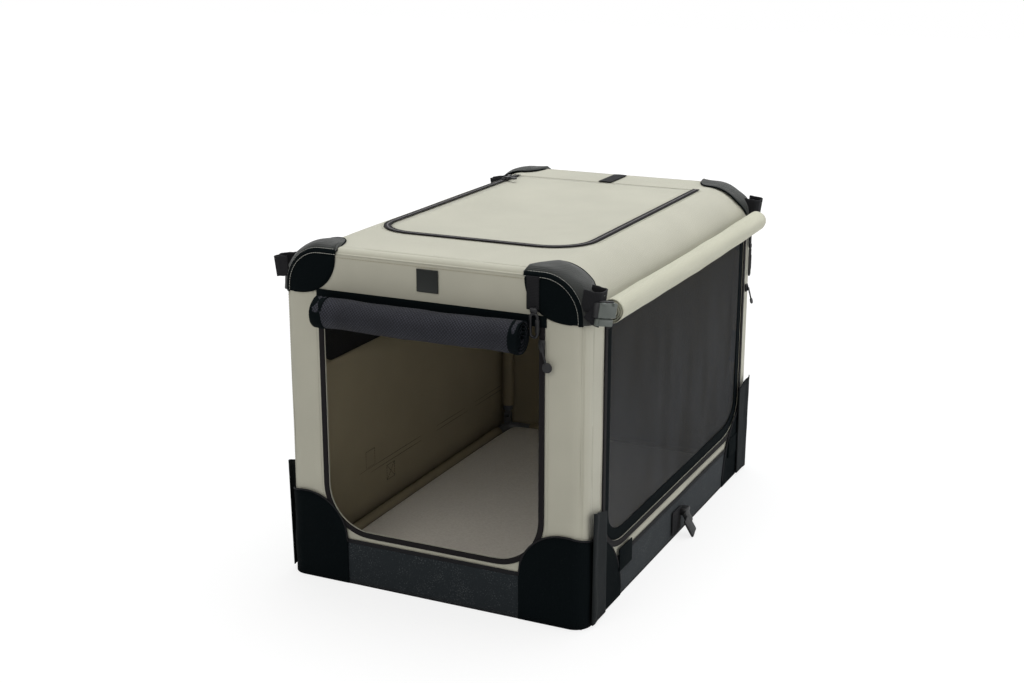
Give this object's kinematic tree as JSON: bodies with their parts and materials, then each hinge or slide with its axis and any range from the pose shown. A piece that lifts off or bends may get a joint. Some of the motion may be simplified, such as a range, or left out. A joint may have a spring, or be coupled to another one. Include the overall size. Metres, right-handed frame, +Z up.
{
  "type": "soft folding dog crate",
  "caption": "Soft-sided folding dog crate: fabric cabin on a knee-jointed tube frame, rolled front door, mesh side door, roof flap and zips.",
  "frame": {"origin": "bottom centre of the bounding box, on the floor under the crate", "axes": "+Z up; the front door faces -Y and the length runs along Y; the mesh side door is on +X"},
  "size_m": [0.4578, 0.6834, 0.4433],
  "materials": {
    "fabric": "woven polyester, matt",
    "dark_fabric": "coarse woven polyester, matt",
    "mesh": "knitted mesh",
    "cream_fabric": "woven polyester, reverse side",
    "fleece": "short pile fleece",
    "webbing": "ribbed webbing",
    "plastic": "moulded",
    "zip": "coil zip",
    "steel": "powder coated tube"
  },
  "bodies": {
    "root": {"base_frame": "steel", "floor_panel": "dark_fabric", "mat": "fleece", "base_skirt": "dark_fabric", "front_left_lower_patch": "dark_fabric", "front_right_lower_patch": "dark_fabric", "rear_left_lower_patch": "dark_fabric", "rear_right_lower_patch": "dark_fabric", "front_left_closure_strap": "webbing", "front_right_closure_strap": "webbing", "rear_left_closure_strap": "webbing", "rear_right_closure_strap": "webbing", "base_clip": "plastic", "front_wall": "fabric", "rear_wall": "fabric", "left_wall": "fabric", "right_wall": "fabric", "left_window_mesh": "mesh", "front_zip": "zip", "side_zip": "zip", "front_header": "mesh", "front_door_roll": "mesh", "badge": "dark_fabric", "front_roll_hook": "plastic", "side_roll_hook": "plastic"},
    "front_lower_legs": {"front_left_lower_leg": "steel", "front_right_lower_leg": "steel"},
    "front_upper_legs": {"front_left_upper_leg": "steel", "front_right_upper_leg": "steel"},
    "rear_lower_legs": {"rear_left_lower_leg": "steel", "rear_right_lower_leg": "steel"},
    "rear_upper_legs": {"rear_left_upper_leg": "steel", "rear_right_upper_leg": "steel"},
    "top_frame": {"front_hoop": "steel", "rear_hoop": "steel", "left_top_rail": "steel", "right_top_rail": "steel", "top_panel": "fabric", "top_zip": "zip", "flap_strap": "webbing", "side_cover_roll": "cream_fabric", "buckle_socket": "plastic", "front_left_top_patch": "dark_fabric", "front_right_top_patch": "dark_fabric", "rear_left_top_patch": "dark_fabric", "rear_right_top_patch": "dark_fabric", "front_left_webbing_loop": "webbing", "front_right_webbing_loop": "webbing", "rear_left_webbing_loop": "webbing", "rear_right_webbing_loop": "webbing"},
    "top_flap": {"top_flap": "fabric"},
    "side_mesh_door": {"side_mesh_door": "mesh"},
    "front_zip_slider": {"front_zip_slider": "plastic"},
    "side_zip_slider": {"side_zip_slider": "plastic"},
    "top_zip_slider": {"top_zip_slider": "plastic"},
    "buckle_clip": {"buckle_clip": "plastic"},
    "front_left_knee_button": {"front_left_knee_button": "plastic"},
    "front_right_knee_button": {"front_right_knee_button": "plastic"},
    "rear_left_knee_button": {"rear_left_knee_button": "plastic"},
    "rear_right_knee_button": {"rear_right_knee_button": "plastic"}
  },
  "joints": [
    {"name": "fold", "type": "hinge", "parent": "root", "child": "front_lower_legs", "pos_m": [-0.00677, -0.28325, 0.03], "axis": [-1, 0, 0], "range_deg": [0, 90], "deforming": ["front_wall", "rear_wall", "left_wall", "right_wall", "left_window_mesh", "front_zip", "side_zip", "front_header", "front_door_roll", "badge", "front_roll_hook", "side_roll_hook", "side_mesh_door", "front_zip_slider", "side_zip_slider", "front_left_lower_patch", "front_right_lower_patch", "rear_left_lower_patch", "rear_right_lower_patch", "front_left_closure_strap", "front_right_closure_strap", "rear_left_closure_strap", "rear_right_closure_strap"]},
    {"name": "front_knee", "type": "hinge", "parent": "front_lower_legs", "child": "front_upper_legs", "pos_m": [-0.00677, -0.29105, 0.195], "axis": [-1, 0, 0], "range_deg": [-180, 0]},
    {"name": "front_top_pivot", "type": "hinge", "parent": "front_upper_legs", "child": "top_frame", "pos_m": [-0.00677, -0.28325, 0.36], "axis": [-1, 0, 0], "range_deg": [0, 90]},
    {"name": "rear_base_pivot", "type": "hinge", "parent": "root", "child": "rear_lower_legs", "pos_m": [-0.00677, 0.32075, 0.03], "axis": [1, 0, 0], "range_deg": [0, 90]},
    {"name": "rear_knee", "type": "hinge", "parent": "rear_lower_legs", "child": "rear_upper_legs", "pos_m": [-0.00677, 0.32855, 0.195], "axis": [1, 0, 0], "range_deg": [-180, 0]},
    {"name": "roof_flap", "type": "hinge", "parent": "top_frame", "child": "top_flap", "pos_m": [-0.00677, 0.25375, 0.44], "axis": [-1, 0, 0], "range_deg": [0, 120]},
    {"name": "side_door", "type": "hinge", "parent": "root", "child": "side_mesh_door", "pos_m": [0.19823, 0.01875, 0.371], "axis": [0, -1, 0], "range_deg": [0, 85]},
    {"name": "front_zip", "type": "slide", "parent": "root", "child": "front_zip_slider", "axis": [0, 0, -1], "range_m": [0, 0.2]},
    {"name": "side_zip", "type": "slide", "parent": "root", "child": "side_zip_slider", "axis": [0, 0, -1], "range_m": [0, 0.14]},
    {"name": "roof_zip", "type": "slide", "parent": "top_frame", "child": "top_zip_slider", "axis": [0, -1, 0], "range_m": [0, 0.28]},
    {"name": "buckle_release", "type": "slide", "parent": "top_frame", "child": "buckle_clip", "axis": [0, 0, -1], "range_m": [0, 0.014]},
    {"name": "front_left_button", "type": "slide", "parent": "front_lower_legs", "child": "front_left_knee_button", "axis": [-1, 0, 0], "range_m": [0, 0.0012], "stiffness_N_per_m": 400},
    {"name": "front_right_button", "type": "slide", "parent": "front_lower_legs", "child": "front_right_knee_button", "axis": [1, 0, 0], "range_m": [0, 0.0012], "stiffness_N_per_m": 400},
    {"name": "rear_left_button", "type": "slide", "parent": "rear_lower_legs", "child": "rear_left_knee_button", "axis": [-1, 0, 0], "range_m": [0, 0.0012], "stiffness_N_per_m": 400},
    {"name": "rear_right_button", "type": "slide", "parent": "rear_lower_legs", "child": "rear_right_knee_button", "axis": [1, 0, 0], "range_m": [0, 0.0012], "stiffness_N_per_m": 400}
  ],
  "couplings": [
    {"joint": "front_knee", "follows": "fold", "ratio": -2},
    {"joint": "front_top_pivot", "follows": "fold", "ratio": 1},
    {"joint": "rear_base_pivot", "follows": "fold", "ratio": 1},
    {"joint": "rear_knee", "follows": "fold", "ratio": -2}
  ]
}
